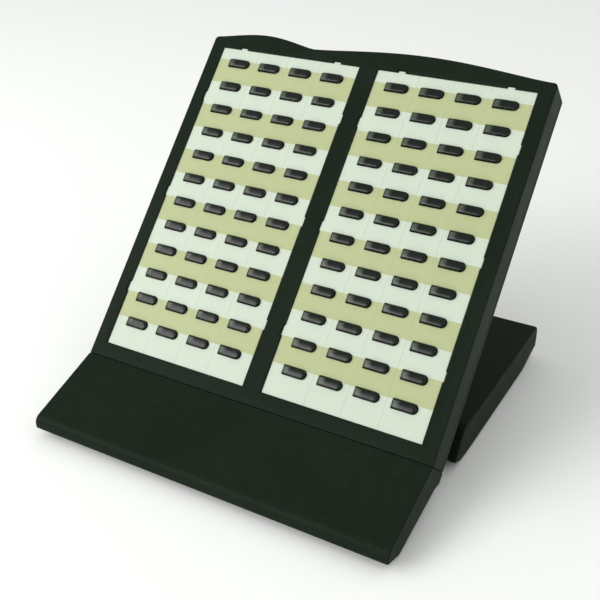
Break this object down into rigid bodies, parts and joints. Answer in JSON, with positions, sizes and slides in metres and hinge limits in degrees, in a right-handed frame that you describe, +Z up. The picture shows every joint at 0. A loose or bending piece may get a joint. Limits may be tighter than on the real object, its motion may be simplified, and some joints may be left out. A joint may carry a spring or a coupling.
{
  "type": "direct station select console",
  "caption": "Leaning desk console with two fields of lamp keys over banded label sheets, a sloping hand rest and a folding rear stand.",
  "frame": {"origin": "on the desk, under the middle of the console's width and depth", "axes": "+X to the right across the panel, +Y from the user towards the back, +Z up from the desk"},
  "size_m": [0.1928, 0.1906, 0.1637],
  "materials": {
    "case_plastic": "fine moulded texture, satin, near-black with a green-grey cast",
    "stand_plastic": "fine moulded texture, satin, near-black with a green-grey cast",
    "back_plastic": "moulded texture, a little duller than the front",
    "label_paper": "uncoated card printed in off-white and olive-beige bands with thin grey column rules",
    "clear_sheet": "thin clear plastic sheet, slight sheen",
    "key_plastic": "glossy near-black, smoked over the lamp",
    "keypad_rubber": "grey silicone",
    "foot_rubber": "black rubber",
    "circuit_board": "green lacquered glass-fibre board",
    "lamp_plastic": "clear cast resin over a small lamp",
    "black_moulding": "black moulded resin",
    "crystal_can": "plain drawn can",
    "capacitor_sleeve": "shrunk plastic sleeve",
    "connector_plastic": "natural nylon",
    "flat_cable": "flat laminated cable",
    "screw_steel": "zinc-plated, dark",
    "pin_steel": "ground steel"
  },
  "bodies": {
    "stand": {"stand_shell": "stand_plastic", "stand_cover": "back_plastic", "stand_screws": "screw_steel", "stand_feet": "foot_rubber", "hinge_pins": "pin_steel", "hinge_washers": "pin_steel"},
    "console": {"front_cover": "case_plastic", "hand_rest": "case_plastic", "rear_cover": "back_plastic", "hand_rest_base": "back_plastic", "label_sheet_left": "label_paper", "label_sheet_right": "label_paper", "sheet_cover_left": "clear_sheet", "sheet_cover_right": "clear_sheet", "keypad_left": "keypad_rubber", "keypad_right": "keypad_rubber", "front_feet": "foot_rubber", "key_board_left": "circuit_board", "key_board_right": "circuit_board", "control_board": "circuit_board", "lamps_left": "lamp_plastic", "lamps_right": "lamp_plastic", "driver_chips": "black_moulding", "processor_chip": "black_moulding", "line_jack": "black_moulding", "crystal": "crystal_can", "capacitors": "capacitor_sleeve", "board_connectors": "connector_plastic", "board_cables": "flat_cable", "board_screws": "screw_steel", "case_screws": "screw_steel", "hand_rest_screws": "screw_steel", "joining_screws": "screw_steel"},
    "key_row_left_01": {"key_row_left_01": "key_plastic"},
    "key_row_left_02": {"key_row_left_02": "key_plastic"},
    "key_row_left_03": {"key_row_left_03": "key_plastic"},
    "key_row_left_04": {"key_row_left_04": "key_plastic"},
    "key_row_left_05": {"key_row_left_05": "key_plastic"},
    "key_row_left_06": {"key_row_left_06": "key_plastic"},
    "key_row_left_07": {"key_row_left_07": "key_plastic"},
    "key_row_left_08": {"key_row_left_08": "key_plastic"},
    "key_row_left_09": {"key_row_left_09": "key_plastic"},
    "key_row_left_10": {"key_row_left_10": "key_plastic"},
    "key_row_left_11": {"key_row_left_11": "key_plastic"},
    "key_row_left_12": {"key_row_left_12": "key_plastic"},
    "key_row_right_01": {"key_row_right_01": "key_plastic"},
    "key_row_right_02": {"key_row_right_02": "key_plastic"},
    "key_row_right_03": {"key_row_right_03": "key_plastic"},
    "key_row_right_04": {"key_row_right_04": "key_plastic"},
    "key_row_right_05": {"key_row_right_05": "key_plastic"},
    "key_row_right_06": {"key_row_right_06": "key_plastic"},
    "key_row_right_07": {"key_row_right_07": "key_plastic"},
    "key_row_right_08": {"key_row_right_08": "key_plastic"},
    "key_row_right_09": {"key_row_right_09": "key_plastic"},
    "key_row_right_10": {"key_row_right_10": "key_plastic"},
    "key_row_right_11": {"key_row_right_11": "key_plastic"},
    "key_row_right_12": {"key_row_right_12": "key_plastic"}
  },
  "joints": [
    {"name": "case_tilt", "type": "hinge", "parent": "stand", "child": "console", "pos_m": [0, -0.028, 0.012], "axis": [1, 0, 0], "range_deg": [-46.5, 0]},
    {"name": "press_left_01", "type": "slide", "parent": "console", "child": "key_row_left_01", "axis": [0, 0.7254, -0.6884], "range_m": [0, 0.0012], "stiffness_N_per_m": 900, "springref_m": -0.001},
    {"name": "press_left_02", "type": "slide", "parent": "console", "child": "key_row_left_02", "axis": [0, 0.7254, -0.6884], "range_m": [0, 0.0012], "stiffness_N_per_m": 900, "springref_m": -0.001},
    {"name": "press_left_03", "type": "slide", "parent": "console", "child": "key_row_left_03", "axis": [0, 0.7254, -0.6884], "range_m": [0, 0.0012], "stiffness_N_per_m": 900, "springref_m": -0.001},
    {"name": "press_left_04", "type": "slide", "parent": "console", "child": "key_row_left_04", "axis": [0, 0.7254, -0.6884], "range_m": [0, 0.0012], "stiffness_N_per_m": 900, "springref_m": -0.001},
    {"name": "press_left_05", "type": "slide", "parent": "console", "child": "key_row_left_05", "axis": [0, 0.7254, -0.6884], "range_m": [0, 0.0012], "stiffness_N_per_m": 900, "springref_m": -0.001},
    {"name": "press_left_06", "type": "slide", "parent": "console", "child": "key_row_left_06", "axis": [0, 0.7254, -0.6884], "range_m": [0, 0.0012], "stiffness_N_per_m": 900, "springref_m": -0.001},
    {"name": "press_left_07", "type": "slide", "parent": "console", "child": "key_row_left_07", "axis": [0, 0.7254, -0.6884], "range_m": [0, 0.0012], "stiffness_N_per_m": 900, "springref_m": -0.001},
    {"name": "press_left_08", "type": "slide", "parent": "console", "child": "key_row_left_08", "axis": [0, 0.7254, -0.6884], "range_m": [0, 0.0012], "stiffness_N_per_m": 900, "springref_m": -0.001},
    {"name": "press_left_09", "type": "slide", "parent": "console", "child": "key_row_left_09", "axis": [0, 0.7254, -0.6884], "range_m": [0, 0.0012], "stiffness_N_per_m": 900, "springref_m": -0.001},
    {"name": "press_left_10", "type": "slide", "parent": "console", "child": "key_row_left_10", "axis": [0, 0.7254, -0.6884], "range_m": [0, 0.0012], "stiffness_N_per_m": 900, "springref_m": -0.001},
    {"name": "press_left_11", "type": "slide", "parent": "console", "child": "key_row_left_11", "axis": [0, 0.7254, -0.6884], "range_m": [0, 0.0012], "stiffness_N_per_m": 900, "springref_m": -0.001},
    {"name": "press_left_12", "type": "slide", "parent": "console", "child": "key_row_left_12", "axis": [0, 0.7254, -0.6884], "range_m": [0, 0.0012], "stiffness_N_per_m": 900, "springref_m": -0.001},
    {"name": "press_right_01", "type": "slide", "parent": "console", "child": "key_row_right_01", "axis": [0, 0.7254, -0.6884], "range_m": [0, 0.0012], "stiffness_N_per_m": 900, "springref_m": -0.001},
    {"name": "press_right_02", "type": "slide", "parent": "console", "child": "key_row_right_02", "axis": [0, 0.7254, -0.6884], "range_m": [0, 0.0012], "stiffness_N_per_m": 900, "springref_m": -0.001},
    {"name": "press_right_03", "type": "slide", "parent": "console", "child": "key_row_right_03", "axis": [0, 0.7254, -0.6884], "range_m": [0, 0.0012], "stiffness_N_per_m": 900, "springref_m": -0.001},
    {"name": "press_right_04", "type": "slide", "parent": "console", "child": "key_row_right_04", "axis": [0, 0.7254, -0.6884], "range_m": [0, 0.0012], "stiffness_N_per_m": 900, "springref_m": -0.001},
    {"name": "press_right_05", "type": "slide", "parent": "console", "child": "key_row_right_05", "axis": [0, 0.7254, -0.6884], "range_m": [0, 0.0012], "stiffness_N_per_m": 900, "springref_m": -0.001},
    {"name": "press_right_06", "type": "slide", "parent": "console", "child": "key_row_right_06", "axis": [0, 0.7254, -0.6884], "range_m": [0, 0.0012], "stiffness_N_per_m": 900, "springref_m": -0.001},
    {"name": "press_right_07", "type": "slide", "parent": "console", "child": "key_row_right_07", "axis": [0, 0.7254, -0.6884], "range_m": [0, 0.0012], "stiffness_N_per_m": 900, "springref_m": -0.001},
    {"name": "press_right_08", "type": "slide", "parent": "console", "child": "key_row_right_08", "axis": [0, 0.7254, -0.6884], "range_m": [0, 0.0012], "stiffness_N_per_m": 900, "springref_m": -0.001},
    {"name": "press_right_09", "type": "slide", "parent": "console", "child": "key_row_right_09", "axis": [0, 0.7254, -0.6884], "range_m": [0, 0.0012], "stiffness_N_per_m": 900, "springref_m": -0.001},
    {"name": "press_right_10", "type": "slide", "parent": "console", "child": "key_row_right_10", "axis": [0, 0.7254, -0.6884], "range_m": [0, 0.0012], "stiffness_N_per_m": 900, "springref_m": -0.001},
    {"name": "press_right_11", "type": "slide", "parent": "console", "child": "key_row_right_11", "axis": [0, 0.7254, -0.6884], "range_m": [0, 0.0012], "stiffness_N_per_m": 900, "springref_m": -0.001},
    {"name": "press_right_12", "type": "slide", "parent": "console", "child": "key_row_right_12", "axis": [0, 0.7254, -0.6884], "range_m": [0, 0.0012], "stiffness_N_per_m": 900, "springref_m": -0.001}
  ]
}
